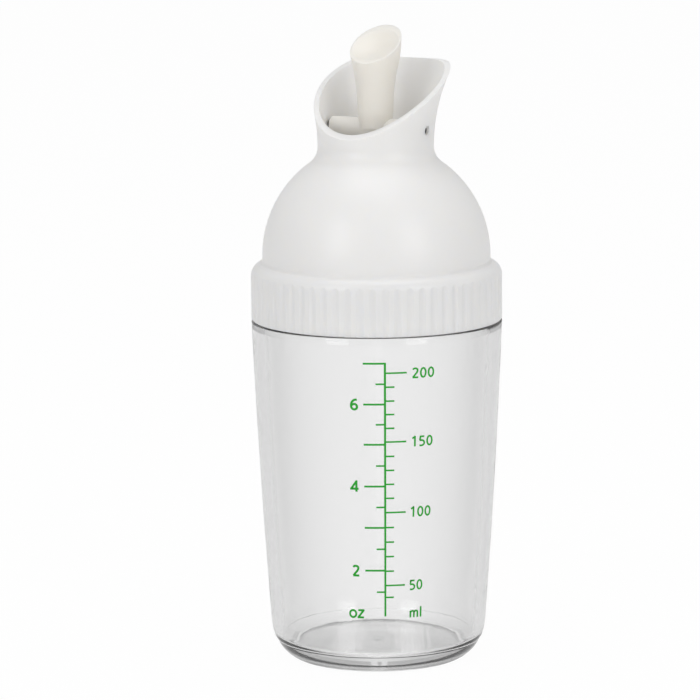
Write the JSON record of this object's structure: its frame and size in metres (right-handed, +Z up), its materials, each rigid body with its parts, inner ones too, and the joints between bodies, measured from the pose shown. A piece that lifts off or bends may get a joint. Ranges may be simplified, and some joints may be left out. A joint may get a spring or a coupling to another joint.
{
  "type": "salad dressing shaker bottle",
  "caption": "Clear shaker bottle with a fluted screw lid, a domed neck, a flared slanted pouring spout and an upright lever that opens the port.",
  "frame": {"origin": "centre of the foot ring, on the plane that the bottle stands on", "axes": "+Z up along the bottle's axis, +X towards the pouring lip, Y along the lever's hinge pin"},
  "size_m": [0.0676, 0.0676, 0.171],
  "materials": {
    "clear_plastic": "clear, polished",
    "white_plastic": "moulded, soft gloss",
    "lever_plastic": "moulded, soft gloss",
    "silicone": "translucent, matte",
    "steel": "cut end, satin"
  },
  "bodies": {
    "bottle": {"bottle_body": "clear_plastic"},
    "gasket": {"lid_gasket": "silicone"},
    "lid": {"lid_shell": "white_plastic", "hinge_pin": "steel"},
    "lever": {"pour_lever": "lever_plastic", "stopper_seal": "silicone"}
  },
  "joints": [
    {"name": "lid_lift", "type": "slide", "parent": "bottle", "child": "gasket", "axis": [0, 0, 1], "range_m": [0, 0.01351]},
    {"name": "lid_turn", "type": "hinge", "parent": "gasket", "child": "lid", "pos_m": [0, 0, 0.0925], "axis": [0, 0, 1], "range_deg": [0, 1080]},
    {"name": "lever_tilt", "type": "hinge", "parent": "lid", "child": "lever", "pos_m": [0, 0, 0.14401], "axis": [0, -1, 0], "range_deg": [0, 68]}
  ],
  "couplings": [
    {"joint": "lid_lift", "follows": "lid_turn", "m_per_rad": 0.0007162}
  ]
}
